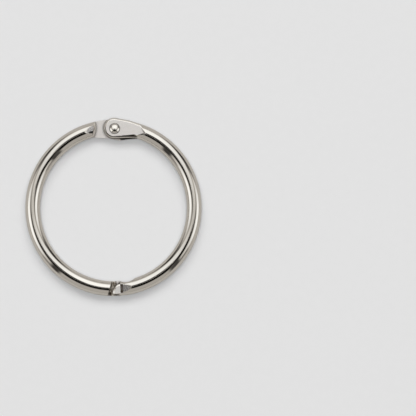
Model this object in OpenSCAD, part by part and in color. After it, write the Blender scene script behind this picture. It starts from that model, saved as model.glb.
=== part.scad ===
// Hinged binder ring: two half rings of round wire, riveted together at the top and hooked
// into each other at the bottom. The closed ring lies flat on z = 0, its centre is the origin
// and its hinge is on the +Y side. The right half (+X) swings open about the rivet.

/* [Ring] */
// Outside diameter of the closed ring
ring_od = 24.95; // [18:0.05:60]
// Diameter of the round wire
wire_d = 2.1; // [1.7:0.05:2.6]

/* [Hinge tongues] */
// How far the rivet sits inside the wire's centre line
rivet_inset = 0.21; // [0:0.01:0.4]
// Depth to which each tongue's outer face is pressed below the round wire
press_depth = 0.2; // [0.1:0.01:0.3]
// Radius of the upper tongue's nose round the rivet
nose_r = 1.43; // [1.2:0.01:1.8]
// Radius of the upper tongue midway between nose and wire
waist_r = 1.18; // [1:0.01:1.5]
// Radius of both tongues at their root in the wire
root_r = 0.84; // [0.7:0.01:0.95]
// Radius of the lower tongue's tip round the rivet
tip_r = 1.4; // [1.2:0.01:1.7]
// Radius of the lower tongue midway to the wire
lower_waist_r = 1.24; // [1.1:0.01:1.5]
// Distance from the rivet to the middle of both tongues
waist_reach = 1.75; // [1.4:0.05:2.2]
// Distance from the rivet to the root of both tongues
root_reach = 3.3; // [2.9:0.05:4]
// Distance from the rivet to the end of the pressed faces
runout_reach = 4.1; // [3.4:0.05:4.8]
// Half the angle of the point in which the pressed faces run out along the wire
runout_angle = 40; // [30:1:80]
// Length of the ramps from the pressed faces up to the round wire
runout_len = 0.25; // [0.2:0.05:0.8]
// Thickness of the flash left along the upper tongue's inner side
flash_t = 0.12; // [0.08:0.01:0.2]
// Rounding along the outer edges of both tongues
tongue_edge = 0.32; // [0.1:0.01:0.35]

/* [Hinge shoulders] */
// Distance from the rivet to the foot of the left half's upper shoulder
step_reach = 2.6; // [2.4:0.05:3.2]
// Radius of that shoulder's bulging end face, at its foot
step_r = 2.6; // [1.4:0.1:3]
// How far that end face leans back from its foot to its top
step_lean = 0.22; // [0:0.02:0.3]
// Width of the bevel along its top
step_bevel = 0.14; // [0.05:0.01:0.25]
// Length of the facet pressed into the wire in front of that shoulder
step_facet_len = 1.45; // [0.8:0.1:2.4]
// Depth of that facet at the shoulder
step_facet_depth = 0.17; // [0.05:0.01:0.2]
// Distance from the rivet to the right half's lower shoulder, which stops the opening swing
stop_reach = 2.2; // [2:0.05:2.7]
// How far the lower tongue's tail corner reaches past the rivet
tail_x = 0.85; // [0.6:0.05:1.1]
// How far the tail corner lies inside the ring from the rivet
tail_y = 1.74; // [1.5:0.02:2.1]

/* [Rivet] */
// Shank diameter
shank_d = 0.8; // [0.6:0.05:1]
// Head diameter
head_d = 1.3; // [1.1:0.05:1.6]
// Height of the domed head
head_h = 0.3; // [0.15:0.01:0.32]
// How far the top of the dome is off the rivet's axis, towards the ring's centre
head_offset = 0.12; // [0:0.01:0.15]
// Depth of the dish that the head sits in
dish_depth = 0.06; // [0.02:0.01:0.12]
// Width of the bare dish round the head
dish_rim = 0.12; // [0.04:0.01:0.2]

/* [Hook closure] */
// Angle by which the closure is off the point opposite the hinge
closure_turn = 3.2; // [-10:0.1:10]
// Length of each hook past the middle of the closure
hook_reach = 0.54; // [0.4:0.02:0.8]
// Height of the locking tooth past the middle plane
tooth_h = 0.2; // [0.1:0.01:0.3]
// Depth of the hook's flat face below the round wire
hook_press = 0.25; // [0.15:0.01:0.35]
// Width of the groove behind the hook
groove_w = 0.36; // [0.2:0.02:0.5]
// Depth of that groove below the hook's flat face
groove_depth = 0.3; // [0.1:0.01:0.35]
// Length of that groove across the wire
groove_len = 1.25; // [0.8:0.05:1.6]
// Distance from the middle of the closure to each shoulder
shoulder_reach = 1; // [0.9:0.02:1.3]
// Slant of the shoulders across the wire
shoulder_slant = 18; // [0:1:30]
// Length of the facet pressed into the wire behind the groove
hook_facet_len = 1.1; // [0.6:0.1:2]
// Depth of that facet at its deep end
hook_facet_depth = 0.13; // [0.05:0.01:0.2]
// Radius of the right hook's inner corner, seen from above
hook_corner_r = 1.3; // [0.8:0.05:1.6]
// Width of the bevel along that corner
corner_bevel_w = 0.22; // [0.05:0.01:0.3]
// Depth of that bevel
corner_bevel_depth = 0.11; // [0.03:0.01:0.2]
// Distance from the wire's centre line to the right hook's trimmed outer side
hook_side = 0.78; // [0.7:0.02:1]
// Depth of the scallop pressed into the right half's inner side
scallop_depth = 0.29; // [0.05:0.01:0.35]
// Radius of that scallop
scallop_r = 1.9; // [1.4:0.05:4]
// Distance from the groove to the middle of that scallop
scallop_reach = 0.8; // [0.3:0.05:1.2]
// Diameter of the punch mark in the left half's pocket
punch_d = 0.36; // [0.2:0.02:0.4]

/* [Clearances] */
// Gap between the two tongues
lap_gap = 0.04; // [0.02:0.01:0.08]
// Radial running gap round the rivet's shank
running_gap = 0.04; // [0.02:0.01:0.08]
// Gap between the hooks
hook_gap = 0.05; // [0.03:0.01:0.1]

/* [Hidden] */
$fn = 96;
// Sides of the discs that the tongues are stretched over, and of their rounding
HULL_FN = 48;
EDGE_FN = 36;
FAR = 6;
wire_r = wire_d / 2;
ring_r = ring_od / 2 - wire_r;
mid_z = wire_r;
hinge_y = ring_r - rivet_inset;
rivet_at = [0, hinge_y];
tongue_t = wire_r - press_depth - lap_gap / 2;
tongue_top = wire_d - press_depth;
// The upper nose is a little ahead of the rivet and outside it
nose_shift = [-0.09, 0.08];
waist_inset = 0.06;
// The tongues' roots lie outside the wire's centre line, and then fade into the wire
root_shift = -0.14;
fade_reach = 1.2;
fade_r = 0.45;
// Distance from the rivet to where the wire ends inside the tongues
wire_reach = 1.6;
// What the press takes off the tongues' faces
press_trim = 0.004;
// Outline of the flash, seen from the rivet's axis, and its slope
FLASH = [
    [0.9, -1.62],
    [2.2, -1.45],
    [3.04, -1.37],
    [3.64, -1.35],
    [4.04, -1.53],
    [4.35, -1.78],
    [4.2, -0.9],
    [0.9, -0.9]
];
FLASH_SLOPE = 8;
// The tail leaves the lower tongue's inner side near its waist and ends in a cut corner
tail_root = [[-waist_reach, -0.75], [-waist_reach + 0.2, -lower_waist_r]];
tail_cut = [0.13, 0.25];
// Play under the rivet's head
head_play = 0.02;
// Each half's wire is drawn this many degrees past the closure before it is cut
closure_overlap = 5;
// Flat strip between the groove and the lead-in facet
strip_w = 0.2;
hook_corner_inset = 0.6 * wire_r;
// Where the trim of the right hook's outer side begins and ends
trim_at = [-hook_reach - 0.1, hook_reach - 0.2];
punch_at = [-1.02, -0.7];
NICKEL = [0.80, 0.79, 0.76];
RIVET_NICKEL = [0.86, 0.85, 0.82];

// A point on the wire's centre line, moved inwards, at a sideways distance from the hinge's axis
function on_ring(x, inset = 0) = [x, sqrt(pow(ring_r - inset, 2) - x * x)];

// The angle from +Y, clockwise, of that point
function turn_at(x) = asin(x / ring_r);

// Round wire from one angle to another, counted anticlockwise from +X
module wire_arc(from, to) {
    translate([0, 0, mid_z])
        rotate([0, 0, from])
            rotate_extrude(angle = to - from)
                translate([ring_r, 0])
                    circle(r = wire_r);
}

// Everything above a face pressed across the wire: flat up to the wire's point at that angle,
// then a ramp that rises over a length until it leaves the wire. The line between them can
// be turned by a slant, and side is 1 where the ramp is on the right
module press_above(angle, side, depth, ramp, slant = 0) {
    rotate([0, 0, -angle])
        translate([0, ring_r, wire_d])
            rotate([90, 0, side * slant])
                linear_extrude(3 * FAR, center = true)
                    polygon([
                        [-side * 2 * FAR, -depth],
                        [0, -depth],
                        [side * ramp, 0],
                        [side * ramp, 1],
                        [-side * 2 * FAR, 1]
                    ]);
}

// Everything above a tongue's pressed face, which runs out in a point along the wire
module tongue_press(side) {
    angle = side * turn_at(runout_reach);
    intersection() {
        press_above(angle, side, press_depth, runout_len, 90 - runout_angle);
        press_above(angle, side, press_depth, runout_len, runout_angle - 90);
    }
}

// A disc with a rounded upper edge, one of the shapes that a tongue is stretched over
module rounded_disc(at, r) {
    translate([at.x, at.y, 0]) {
        cylinder(r = r, h = tongue_t + press_trim - tongue_edge, $fn = HULL_FN);
        translate([0, 0, tongue_t + press_trim - tongue_edge])
            rotate_extrude($fn = HULL_FN)
                translate([r - tongue_edge, 0])
                    circle(r = tongue_edge, $fn = EDGE_FN);
    }
}

// The right half's tongue, which lies on top
module upper_tongue() {
    translate([0, 0, mid_z + lap_gap / 2])
        hull() {
            rounded_disc(rivet_at + nose_shift, nose_r);
            rounded_disc(on_ring(waist_reach, waist_inset), waist_r);
            rounded_disc(on_ring(root_reach, root_shift), root_r);
            rounded_disc(on_ring(root_reach + fade_reach), fade_r);
        }
}

// The flash that stamping squeezed out along the upper tongue's inner side, its top sloping
// down towards the ring's centre
module flash() {
    translate([0, hinge_y, mid_z + lap_gap / 2])
        difference() {
            linear_extrude(2 * flash_t)
                polygon(FLASH);
            translate([0, FLASH[0].y, flash_t])
                rotate([FLASH_SLOPE, 0, 0])
                    translate([-FAR, -FAR, 0])
                        cube([2 * FAR, 2 * FAR, FAR]);
        }
}

// The left half's tongue, which lies underneath, with the tail corner that stops the ring
// from closing too far
module lower_tongue() {
    translate([0, 0, mid_z - lap_gap / 2])
        mirror([0, 0, 1]) {
            hull() {
                rounded_disc(rivet_at, tip_r);
                rounded_disc(on_ring(-waist_reach, rivet_inset), lower_waist_r);
                rounded_disc(on_ring(-root_reach, root_shift), root_r);
                rounded_disc(on_ring(-root_reach - fade_reach), fade_r);
            }
            linear_extrude(tongue_t - tongue_edge)
                translate(rivet_at)
                    polygon([
                        tail_root[0],
                        tail_root[1],
                        [tail_x, -tail_y],
                        [tail_x + tail_cut.x, -tail_y + tail_cut.y],
                        [tail_x + tail_cut.x, 0]
                    ]);
        }
}

// Clears the upper half of the wire past the left half's bulging shoulder, whose end face
// leans back and is bevelled along its top
module upper_step() {
    edge_h = wire_r + lap_gap / 2 - step_facet_depth;
    top_r = step_r - step_lean;
    translate([-step_reach - step_r, hinge_y, mid_z - lap_gap / 2])
        difference() {
            translate([0, -FAR / 2, 0])
                cube([FAR * 2, FAR, wire_d]);
            translate([0, 0, -1])
                rotate_extrude()
                    polygon([
                        [0, 0],
                        [step_r, 0],
                        [step_r, 1],
                        [top_r, 1 + edge_h - step_bevel],
                        [top_r - 2 * step_bevel, 1 + edge_h + step_bevel],
                        [top_r - 2 * step_bevel, wire_d + 2],
                        [0, wire_d + 2]
                    ]);
        }
}

// Clears the lower half of the wire inside the right half's hollow shoulder
module lower_stop() {
    translate([0, hinge_y, -1])
        cylinder(r = stop_reach, h = mid_z + lap_gap / 2 + 1);
}

// The dished hole in the right half that turns on the rivet
module running_hole() {
    translate([0, hinge_y, mid_z]) {
        cylinder(d = shank_d + 2 * running_gap, h = wire_d);
        translate([0, 0, tongue_top - mid_z - dish_depth])
            cylinder(d1 = head_d + dish_rim, d2 = head_d + 2 * dish_rim, h = dish_depth + 0.001);
    }
}

// The countersunk hole in the left half that grips the rivet
module gripping_hole() {
    translate([0, hinge_y, press_depth]) {
        translate([0, 0, -1])
            cylinder(d = shank_d, h = wire_d + 1);
        translate([0, 0, -0.001])
            cylinder(d1 = head_d, d2 = shank_d, h = (head_d - shank_d) / 2);
    }
}

// Puts what is drawn at the middle of the closure, x along the wire and z from its middle,
// into the ring
module at_closure() {
    rotate([0, 0, closure_turn])
        translate([0, -ring_r, mid_z])
            children();
}

// What is cleared away round one hook, seen from the side of the wire: the lead-in facet, the
// flat hook, its tip and the pocket behind its tooth, and then the groove and the shoulder
module hook_clearance() {
    top = wire_r;
    flat = wire_r - hook_press;
    facet_at = hook_reach + groove_w + strip_w;
    roof = tooth_h + hook_gap;
    rotate([90, 0, 0])
        translate([0, 0, -FAR / 2])
            linear_extrude(FAR)
                polygon([
                    [facet_at + hook_facet_len, top],
                    [facet_at, top - hook_facet_depth],
                    [facet_at - strip_w, top - hook_facet_depth],
                    [facet_at - strip_w, flat],
                    [-hook_reach, flat],
                    [-hook_reach, -tooth_h],
                    [-hook_gap / 2, -tooth_h],
                    [-hook_gap / 2, roof],
                    [hook_reach, roof],
                    [hook_reach, -FAR],
                    [-FAR, -FAR],
                    [-FAR, FAR],
                    [facet_at + hook_facet_len, FAR]
                ]);
    translate([hook_reach, -groove_len / 2, flat - groove_depth])
        cube([groove_w, groove_len, FAR]);
    translate([0, 0, -FAR])
        linear_extrude(FAR + roof)
            polygon([
                [hook_reach / 2, -FAR / 3],
                [hook_reach / 2, FAR / 3],
                [shoulder_reach - FAR / 3 * tan(shoulder_slant), FAR / 3],
                [shoulder_reach + FAR / 3 * tan(shoulder_slant), -FAR / 3]
            ]);
}

// Rounds the hook tip's inner corner, seen from above, and bevels the corner's edge
module hook_corner() {
    centre = [hook_corner_r - hook_reach, -hook_corner_inset];
    bevel_z = wire_r - hook_press - corner_bevel_depth;
    difference() {
        translate([centre.x - FAR, centre.y, -FAR])
            cube([FAR - centre.x + hook_reach, FAR, 2 * FAR]);
        translate([centre.x, centre.y, -FAR - 1])
            rotate_extrude()
                polygon([
                    [0, 0],
                    [hook_corner_r, 0],
                    [hook_corner_r, FAR + 1 + bevel_z],
                    [hook_corner_r - 2 * corner_bevel_w, FAR + 1 + bevel_z + 2 * corner_bevel_depth],
                    [0, FAR + 1 + bevel_z + 2 * corner_bevel_depth]
                ]);
    }
}

// Trims the hook's outer side near its tip
module hook_side_trim() {
    translate([trim_at[0], -hook_side - FAR, -FAR])
        cube([trim_at[1] - trim_at[0], FAR, 2 * FAR]);
}

// The shallow scallop pressed into the right half's inner side
module scallop() {
    rotate([0, 0, closure_turn + turn_at(hook_reach + groove_w + scallop_reach)])
        translate([0, -ring_r + wire_r - scallop_depth + scallop_r, -FAR])
            cylinder(r = scallop_r, h = 2 * FAR);
}

// The punch mark in the floor of the left half's pocket, near the wire's outer flank
module punch_mark() {
    translate([punch_at.x, punch_at.y, -tooth_h - hook_gap])
        sphere(d = punch_d);
}

module right_half() {
    color(NICKEL)
        difference() {
            union() {
                difference() {
                    wire_arc(closure_turn - 90 - closure_overlap, 90 - turn_at(wire_reach));
                    lower_stop();
                }
                upper_tongue();
                flash();
            }
            tongue_press(1);
            running_hole();
            at_closure() {
                hook_clearance();
                hook_corner();
                hook_side_trim();
            }
            scallop();
        }
}

module left_half() {
    color(NICKEL)
        difference() {
            union() {
                difference() {
                    wire_arc(90 + turn_at(wire_reach), 270 + closure_turn + closure_overlap);
                    press_above(turn_at(-step_reach - step_lean), -1, step_facet_depth, step_facet_len);
                    upper_step();
                }
                lower_tongue();
            }
            translate([0, 0, wire_d])
                mirror([0, 0, 1])
                    tongue_press(-1);
            gripping_hole();
            at_closure() {
                rotate([0, 180, 0])
                    hook_clearance();
                punch_mark();
            }
        }
}

module rivet() {
    dome_r = (pow(head_d / 2 + head_offset, 2) + pow(head_h, 2)) / (2 * head_h);
    seat_z = tongue_top - dish_depth + head_play;
    color(RIVET_NICKEL)
        translate([0, hinge_y, 0]) {
            translate([0, 0, press_depth])
                cylinder(d = shank_d, h = seat_z - press_depth);
            translate([0, 0, press_depth])
                cylinder(d1 = head_d, d2 = shank_d, h = (head_d - shank_d) / 2);
            intersection() {
                translate([0, -head_offset, seat_z + head_h - dome_r])
                    sphere(r = dome_r);
                translate([0, 0, seat_z])
                    cylinder(d = head_d, h = head_h + 1);
            }
        }
}

left_half();
right_half();
rivet();
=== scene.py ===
import math
from types import SimpleNamespace

import bpy
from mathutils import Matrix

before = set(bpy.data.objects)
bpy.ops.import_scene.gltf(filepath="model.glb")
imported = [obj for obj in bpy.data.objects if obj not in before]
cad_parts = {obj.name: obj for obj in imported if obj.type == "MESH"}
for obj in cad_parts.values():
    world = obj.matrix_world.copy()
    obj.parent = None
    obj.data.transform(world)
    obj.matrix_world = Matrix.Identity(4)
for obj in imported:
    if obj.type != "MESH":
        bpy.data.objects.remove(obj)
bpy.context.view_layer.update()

MM = 0.001
# Sizes of the ring in the frame, in metres
RING_R = 11.425 * MM
WIRE_R = 1.05 * MM
MID_Z = 1.05 * MM
HINGE_Y = 11.215 * MM

# The camera looks straight down from beside the ring
VIEW_WIDTH = 58.86 * MM
CAMERA_HEIGHT = 600 * MM
CAMERA_AT = (13.375 * MM, 0.201 * MM)
CAMERA_ROLL = math.radians(0.92)
LIGHT_FAR = 3.0
FLOOR_SIZE = 4

# How a Mix node's kinds number the socket of its first value and its result
MIX_SOCKETS = {"FLOAT": (2, 0), "RGBA": (6, 2)}

# A ramp of colours holds zenith angles from ZENITH_LOW over ZENITH_SPAN, and radiance up to
# LEVEL_MAX
ZENITH_LOW = -30.0
ZENITH_SPAN = 150.0
LEVEL_MAX = 2.0

UPWARDS = (0.0, 0.0, 1.0)


class Tree:
    """Short ways to add and join nodes."""

    def __init__(self, tree):
        self.tree = tree
        tree.nodes.clear()

    def node(self, kind, **values):
        n = self.tree.nodes.new(kind)
        for k, v in values.items():
            setattr(n, k, v)
        return n

    def put(self, socket, value):
        if isinstance(value, bpy.types.NodeSocket):
            self.tree.links.new(value, socket)
        elif value is not None:
            socket.default_value = value

    def math(self, op, *args):
        n = self.node("ShaderNodeMath", operation=op)
        for s, v in zip(n.inputs, args):
            self.put(s, v)
        return n.outputs[0]

    def times(self, first, *others):
        for other in others:
            first = self.math("MULTIPLY", first, other)
        return first

    def hypot(self, a, b):
        return self.math("SQRT", self.math("ADD", self.times(a, a), self.times(b, b)))

    def vector(self, op, *args):
        n = self.node("ShaderNodeVectorMath", operation=op)
        for s, v in zip(n.inputs, args):
            self.put(s, v)
        return n.outputs["Value" if op == "DOT_PRODUCT" else "Vector"]

    def step(self, value, low, high, out_low=0.0, out_high=1.0):
        """value eased from out_low at low to out_high at high."""
        n = self.node("ShaderNodeMapRange", interpolation_type="SMOOTHSTEP")
        for s, v in zip(n.inputs, (value, low, high, out_low, out_high)):
            self.put(s, v)
        return n.outputs[0]

    def band(self, value, low, high, soft):
        """1 between low and high, 0 outside, eased over soft."""
        up = self.step(value, low - soft, low + soft)
        down = self.step(value, high - soft, high + soft, 1.0, 0.0)
        return self.times(up, down)

    def along(self, azimuth, rows):
        """Zenith angle low, high and radiance at an azimuth, straight between the rows."""
        n = self.node("ShaderNodeValToRGB")
        self.put(n.inputs[0], self.math("MULTIPLY_ADD", azimuth, 1 / 360, 0.5))
        stops = n.color_ramp.elements
        while len(stops) < len(rows):
            stops.new(0.5)
        for stop, (turn, low, high, level) in zip(stops, rows):
            stop.position = turn / 360 + 0.5
            low, high = ((v - ZENITH_LOW) / ZENITH_SPAN for v in (low, high))
            stop.color = (low, high, level / LEVEL_MAX, 1)
        parts = self.node("ShaderNodeSeparateColor")
        self.put(parts.inputs[0], n.outputs[0])
        low, high, level = parts.outputs
        return (
            self.math("MULTIPLY_ADD", low, ZENITH_SPAN, ZENITH_LOW),
            self.math("MULTIPLY_ADD", high, ZENITH_SPAN, ZENITH_LOW),
            self.times(level, LEVEL_MAX),
        )

    def mix(self, factor, a, b, kind="RGBA"):
        n = self.node("ShaderNodeMix", data_type=kind)
        first, result = MIX_SOCKETS[kind]
        self.put(n.inputs[0], factor)
        self.put(n.inputs[first], a)
        self.put(n.inputs[first + 1], b)
        return n.outputs[result]

    def combine(self, x, y, z):
        n = self.node("ShaderNodeCombineXYZ")
        for s, v in zip(n.inputs, (x, y, z)):
            self.put(s, v)
        return n.outputs[0]

    def noise(self, vector, scale, detail=2.0, rough=0.5):
        n = self.node("ShaderNodeTexNoise")
        self.put(n.inputs["Vector"], vector)
        n.inputs["Scale"].default_value = scale
        n.inputs["Detail"].default_value = detail
        n.inputs["Roughness"].default_value = rough
        return n.outputs["Fac"]


def grey(v, warmth=0.0):
    return (v * (1 + warmth), v, v * (1 - warmth), 1)


# What the ring reflects, drawn by direction: azimuth from the hinge's side, east positive, and
# zenith angle from straight up. Each shape is its softness in azimuth and zenith angle, and rows of
# azimuth, zenith angle low and high, and radiance. A later shape covers an earlier one.
DARK_CAP = [
    (-180, -30, 30, 0.01), (-150, -30, 31, 0.01), (-140, -30, 32, 0.01), (-130, -30, 27, 0.01),
    (-120, -30, 28, 0.02), (-110, -30, 30, 0.04), (-100, -30, 31, 0.09), (-90, -30, 34, 0.22),
    (-80, -30, 39, 0.42), (-70, -30, 48, 0.52), (-60, -30, 58, 0.30), (-50, -30, 20, 0.01),
    (50, -30, 20, 0.01), (60, -30, 58, 0.30), (70, -30, 47, 0.50), (80, -30, 40, 0.42),
    (90, -30, 34, 0.25), (100, -30, 31, 0.12), (110, -30, 29, 0.05), (120, -30, 29, 0.02),
    (130, -30, 30, 0.01), (140, -30, 37, 0.01), (150, -30, 31, 0.01), (180, -30, 30, 0.01),
]
SOFTBOX = [
    (-114, -30, -4, 0.90), (-110, -30, 2, 0.90), (-100, -30, 11, 0.85), (-90, -30, 18, 0.80),
    (-80, -30, 26, 0.83), (-70, -30, 36, 0.92), (-65, -10, 42, 0.98), (-60, 3, 47, 1.05),
    (-50, 12, 51, 1.18), (-40, 16, 61, 1.28), (-30, 16, 66, 1.36), (-20, 16, 65, 1.42),
    (10, 12, 66, 1.50), (20, 16, 67, 1.50), (30, 16, 65, 1.42), (40, 12, 61, 1.28),
    (50, 4, 52, 1.18), (60, -2, 46, 1.05), (65, -12, 42, 1.02), (70, -30, 37, 1.00),
    (80, -30, 28, 0.87), (90, -30, 20, 0.82), (100, -30, 12, 0.88), (110, -30, 4, 0.92),
    (116, -30, -4, 0.92),
]
WEST_CARD = [
    (-134, 36, 50, 0.35), (-130, 34, 50, 0.60), (-120, 34, 64, 1.08), (-110, 36, 71, 1.45),
    (-100, 38, 73, 1.50), (-90, 44, 77, 1.46), (-80, 49, 77, 1.12), (-70, 54, 72, 0.72),
    (-64, 58, 70, 0.55),
]
EAST_CARD = [
    (64, 54, 68, 0.60), (70, 50, 70, 0.85), (80, 46, 76, 1.22), (90, 42, 73, 1.45),
    (100, 39, 71, 1.45), (110, 37, 68, 1.22), (120, 36, 58, 0.88), (130, 36, 48, 0.50),
]
WEST_FLAG = [(-75, 76, 98, 0.50), (-68, 70, 98, 0.38), (-60, 52, 98, 0.18), (-50, 60, 97, 0.03),
             (-42, 70, 101, 0.12), (-30, 80, 104, 0.45)]
EAST_FLAG = [(30, 78, 102, 0.45), (42, 68, 99, 0.10), (50, 59, 95, 0.03), (60, 52, 92, 0.12),
             (68, 68, 97, 0.36), (75, 78, 98, 0.50)]
SHAPES = [
    (1, 3, DARK_CAP),
    (1, 6, SOFTBOX),
    (2, 4, WEST_CARD),
    (2, 4, EAST_CARD),
    (2, 5, WEST_FLAG),
    (2, 5, EAST_FLAG),
    (2, 4, [(-140, 18, 78, 0.06), (-132, 18, 78, 0.06)]),
    (2, 4, [(-133, 58, 76, 0.22), (-124, 58, 76, 0.30)]),
    (2, 4, [(128, 18, 76, 0.05), (138, 18, 76, 0.10)]),
    (2, 4, [(118, 57, 74, 0.25), (129, 57, 74, 0.22)]),
]
# Grey surroundings are a little warm, and panels of this radiance and more are white
WARM = (0.60, 1.20)


def studio_world():
    """Soft studio light from panels and dark cards round and above the ring, by direction."""
    world = bpy.data.worlds.new("studio")
    world.use_nodes = True
    t = Tree(world.node_tree)
    way = t.node("ShaderNodeTexCoord").outputs["Generated"]
    xyz = t.node("ShaderNodeSeparateXYZ")
    t.put(xyz.inputs[0], way)
    x, y, z = xyz.outputs
    zenith = t.math("DEGREES", t.math("ARCCOSINE", z))
    azimuth = t.math("DEGREES", t.math("ARCTAN2", x, y))
    light = t.step(t.math("ABSOLUTE", azimuth), 60, 150, 0.585, 0.535)
    for asoft, zsoft, rows in SHAPES:
        wide = t.band(azimuth, rows[0][0], rows[-1][0], asoft)
        low, high, level = t.along(azimuth, rows)
        above = t.step(t.math("SUBTRACT", zenith, low), -zsoft, zsoft)
        below = t.step(t.math("SUBTRACT", zenith, high), -zsoft, zsoft, 1.0, 0.0)
        light = t.mix(t.times(wide, above, below), light, level, "FLOAT")
    studio = t.node("ShaderNodeBackground")
    t.put(studio.inputs["Strength"], light)
    t.put(studio.inputs["Color"], t.mix(t.step(light, *WARM), grey(1.0, 0.055), grey(1.0)))
    plain = t.node("ShaderNodeBackground")
    plain.inputs["Color"].default_value = grey(0.78)
    seen = t.node("ShaderNodeLightPath").outputs["Is Camera Ray"]
    both = t.node("ShaderNodeMixShader")
    t.put(both.inputs[0], seen)
    t.put(both.inputs[1], studio.outputs[0])
    t.put(both.inputs[2], plain.outputs[0])
    out = t.node("ShaderNodeOutputWorld")
    t.put(out.inputs["Surface"], both.outputs[0])
    world.cycles_visibility.diffuse = False
    bpy.context.scene.world = world


def softbox(name, tilt, sizes, power):
    """A softbox tilted from straight up towards +Y, aimed at the ring. It lights the floor."""
    light = bpy.data.lights.new(name, "AREA")
    light.shape = "RECTANGLE"
    light.size, light.size_y = sizes
    light.energy = power
    box = bpy.data.objects.new(name, light)
    bpy.context.scene.collection.objects.link(box)
    box.location = (0, LIGHT_FAR * math.sin(tilt), LIGHT_FAR * math.cos(tilt))
    box.rotation_euler = (-tilt, 0, 0)
    box.visible_glossy = False


def floor():
    bpy.ops.mesh.primitive_plane_add(size=FLOOR_SIZE)
    plane = bpy.context.object
    plane.name = "floor"
    mat = bpy.data.materials.new("pale_floor")
    mat.use_nodes = True
    t = Tree(mat.node_tree)
    bsdf = t.node("ShaderNodeBsdfPrincipled")
    place = t.node("ShaderNodeNewGeometry").outputs["Position"]
    speck = t.noise(place, 900, 4)
    colour = t.mix(speck, grey(0.80), grey(0.82))
    # Painted shade in reflections: the floor is painted darker and warmer where the ring reflects
    # it
    mirrored = t.node("ShaderNodeLightPath").outputs["Is Glossy Ray"]
    t.put(bsdf.inputs["Base Color"], t.mix(mirrored, colour, grey(0.63, 0.05)))
    bsdf.inputs["Roughness"].default_value = 0.9
    bsdf.inputs["Specular IOR Level"].default_value = 0.1
    out = t.node("ShaderNodeOutputMaterial")
    t.put(out.inputs[0], bsdf.outputs[0])
    plane.data.materials.append(mat)


def camera():
    cam = bpy.data.objects.new("camera", bpy.data.cameras.new("camera"))
    bpy.context.scene.collection.objects.link(cam)
    cam.location = (*CAMERA_AT, MID_Z + CAMERA_HEIGHT)
    cam.rotation_euler = (0, 0, CAMERA_ROLL)
    cam.data.lens = cam.data.sensor_width * CAMERA_HEIGHT / VIEW_WIDTH
    cam.data.clip_start = 1 * MM
    cam.data.clip_end = 10
    bpy.context.scene.camera = cam


def from_wire(t):
    """A point on a piece, its distance r from the ring's axis, and how far it lies outwards
    (across) and upwards (up) from the wire's centre line."""
    point = t.node("ShaderNodeTexCoord").outputs["Object"]
    xyz = t.node("ShaderNodeSeparateXYZ")
    t.put(xyz.inputs[0], point)
    x, y, z = xyz.outputs
    r = t.hypot(x, y)
    across = t.math("SUBTRACT", r, RING_R)
    up = t.math("SUBTRACT", z, MID_Z)
    return SimpleNamespace(point=point, x=x, y=y, r=r, across=across, up=up)


def drawn_wire(t, at, tint):
    """Colour, roughness and relief of plated wire, with faint lengthwise streaks."""
    along = t.times(t.math("ARCTAN2", at.y, at.x), RING_R * 0.02)
    streaks = t.noise(t.combine(along, at.across, at.up), 9000, 3, 0.6)
    peel = t.noise(at.point, 900, 2, 0.5)
    smudge = t.noise(at.point, 260, 4, 0.6)
    dark = tuple(c * 0.95 for c in tint) + (1,)
    colour = t.mix(t.step(smudge, 0.35, 0.7), (*tint, 1), dark)
    rough = t.step(smudge, 0.3, 0.75, 0.03, 0.06)
    return colour, rough, t.mix(0.4, streaks, peel, "FLOAT")


def worked_masks(t, at):
    """1 where the surface lies off the wire's round or faces another way than it does there, 1
    where such a surface is level, and the way that it faces."""
    off = t.math("ABSOLUTE", t.math("SUBTRACT", t.hypot(at.across, at.up), WIRE_R))
    lean = t.math("DIVIDE", at.across, at.r)
    outward = t.combine(t.times(at.x, lean), t.times(at.y, lean), at.up)
    outward = t.vector("NORMALIZE", outward)
    facing = t.node("ShaderNodeTexCoord").outputs["Normal"]
    same_way = t.vector("DOT_PRODUCT", outward, facing)
    apart = t.step(off, 0.015 * MM, 0.045 * MM)
    worked = t.math("MAXIMUM", apart, t.step(same_way, 0.93, 0.97, 1.0, 0.0))
    upright = t.math("ABSOLUTE", t.vector("DOT_PRODUCT", facing, UPWARDS))
    level = t.step(upright, 0.9935, 0.998)
    # The tongues' faces run out in ramps, as bright as the faces
    ramp = t.times(
        t.step(upright, 0.80, 0.85),
        t.band(at.y, 8 * MM, 14 * MM, 0.1 * MM),
        t.step(t.math("ABSOLUTE", at.x), 3.6 * MM, 3.7 * MM),
    )
    return worked, t.times(worked, t.math("MAXIMUM", level, ramp)), facing


def scuffed_facets(t, at, speckle):
    """Facets pressed into the crown are scuffed, and the hinge's has a black line painted along its
    inner side, a painted reflection.
    """
    scuffed = t.mix(speckle, grey(0.36, 0.02), grey(0.55, 0.02))
    # Painted reflection: a black line along the facet's inner side, on the hinge's side of the ring
    painted_black_line = t.step(at.across, -0.17 * MM, -0.11 * MM, 1.0, 0.0)
    hinge_side = t.step(at.y, 0.0, 1 * MM)
    return t.mix(t.times(painted_black_line, hinge_side), scuffed, grey(0.03))


def satin_flats(t, at, speckle):
    """Flats are satin, and the floors of the pockets are painted dark and mottled, as painted
    shade.
    """
    satin = t.mix(speckle, grey(0.90, 0.03), grey(0.98, 0.03))
    # Painted shade: level floors from 0.11 to 0.47 mm below the wire's centre are painted dark
    painted_pocket_shade = t.band(at.up, -0.47 * MM, -0.11 * MM, 0.03 * MM)
    spots = t.step(t.noise(at.point, 3600, 2, 0.5), 0.42, 0.60)
    return t.mix(painted_pocket_shade, satin, t.mix(spots, (0.20, 0.16, 0.12, 1), (0.90, 0.84, 0.74, 1)))


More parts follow.
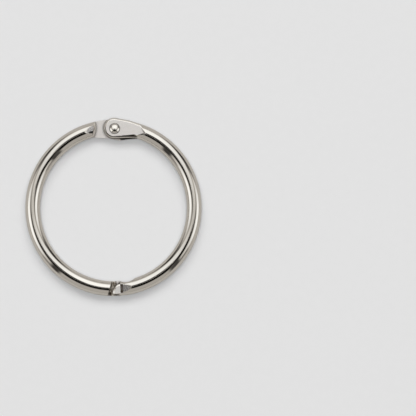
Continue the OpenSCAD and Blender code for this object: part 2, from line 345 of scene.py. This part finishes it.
def painted_dark_edge_mask(t, at, worked, facing):
    """1 along the inner edges of the hinge's tongues, where a dark line is painted in as a painted
    reflection.
    """
    tilt = t.band(t.vector("DOT_PRODUCT", facing, UPWARDS), 0.84, 0.995, 0.002)
    inwards = t.step(t.vector("DOT_PRODUCT", facing, (-0.3, -0.95, 0.0)), 0.03, 0.06)
    at_hinge = t.step(at.y, 8.0 * MM, 8.5 * MM)
    at_edge = t.band(at.up, 0.45 * MM, 0.87 * MM, 0.01 * MM)
    return t.times(worked, tilt, inwards, at_hinge, at_edge)


def pressed_ends(t, at, colour, rough, height):
    """Colour, roughness, relief and metallic of wire that is pressed at its ends."""
    worked, flat, facing = worked_masks(t, at)
    grain = t.noise(at.point, 14000, 3, 0.6)
    speckle = t.step(grain, 0.35, 0.65)
    high = t.times(worked, t.step(at.up, 0.865 * MM, 0.88 * MM))
    flat = t.times(flat, t.math("SUBTRACT", 1.0, high))
    colour = t.mix(high, colour, scuffed_facets(t, at, speckle))
    colour = t.mix(flat, colour, satin_flats(t, at, speckle))
    # Painted reflection: the inner edges of the hinge's tongues are painted near black
    colour = t.mix(painted_dark_edge_mask(t, at, worked, facing), colour, (0.03, 0.025, 0.02, 1))
    rough = t.mix(high, rough, t.step(grain, 0.3, 0.7, 0.20, 0.30), "FLOAT")
    rough = t.mix(flat, rough, t.step(grain, 0.3, 0.7, 0.34, 0.44), "FLOAT")
    height = t.mix(worked, height, grain, "FLOAT")
    return colour, rough, height, t.mix(flat, 1.0, 0.85, "FLOAT")


def out_of_painted_shade(t, at):
    """1 in the open, 0 in hollows, where shade is painted in from ambient occlusion. The rivet's
    head is kept clear of most of the painted shade.
    """
    hollow = t.node("ShaderNodeAmbientOcclusion", samples=8)
    hollow.inputs["Distance"].default_value = 0.5 * MM
    open_air = t.step(hollow.outputs["AO"], 0.45, 0.95)
    from_rivet = t.hypot(at.x, t.math("SUBTRACT", at.y, HINGE_Y))
    return t.math("MAXIMUM", open_air, t.step(from_rivet, 0.9 * MM, 1.05 * MM, 0.5, 0.0))


def relief(t, height):
    """The surface's normal: its edges a little eased, and fine relief."""
    eased = t.node("ShaderNodeBevel", samples=4)
    eased.inputs["Radius"].default_value = 0.05 * MM
    bump = t.node("ShaderNodeBump")
    bump.inputs["Strength"].default_value = 0.12
    bump.inputs["Distance"].default_value = 0.004 * MM
    t.put(bump.inputs["Normal"], eased.outputs[0])
    t.put(bump.inputs["Height"], height)
    return bump.outputs[0]


def nickel(name, tint, pressed=False):
    """Bright nickel plate, with shade painted near black into its hollows. Where pressed, it is
    satin or scuffed wherever the surface has left the wire's round."""
    mat = bpy.data.materials.new(name)
    mat.use_nodes = True
    t = Tree(mat.node_tree)
    at = from_wire(t)
    bsdf = t.node("ShaderNodeBsdfPrincipled")
    bsdf.inputs["Metallic"].default_value = 1.0
    colour, rough, height = drawn_wire(t, at, tint)
    if pressed:
        colour, rough, height, metallic = pressed_ends(t, at, colour, rough, height)
        t.put(bsdf.inputs["Metallic"], metallic)
    # Painted shade: hollows found by ambient occlusion are painted near black
    painted_shade = (0.08, 0.06, 0.045, 1)
    t.put(bsdf.inputs["Base Color"], t.mix(out_of_painted_shade(t, at), painted_shade, colour))
    t.put(bsdf.inputs["Roughness"], rough)
    t.put(bsdf.inputs["Normal"], relief(t, height))
    out = t.node("ShaderNodeOutputMaterial")
    t.put(out.inputs[0], bsdf.outputs[0])
    return mat


def dress(node, mat):
    node.visible_diffuse = False
    for s in node.material_slots:
        s.material = mat


bpy.context.scene.view_settings.view_transform = "Standard"
camera()
studio_world()
softbox("top_light", tilt=0.0, sizes=(1.0, 0.7), power=46)
softbox("key_light", tilt=math.radians(36), sizes=(3.4, 1.4), power=59)
floor()
wire_nickel = nickel("half_ring_nickel", (0.66, 0.64, 0.595), pressed=True)
dress(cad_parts["left_half"], wire_nickel)
dress(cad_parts["right_half"], wire_nickel)
dress(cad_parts["rivet"], nickel("rivet_nickel", (0.68, 0.66, 0.615)))
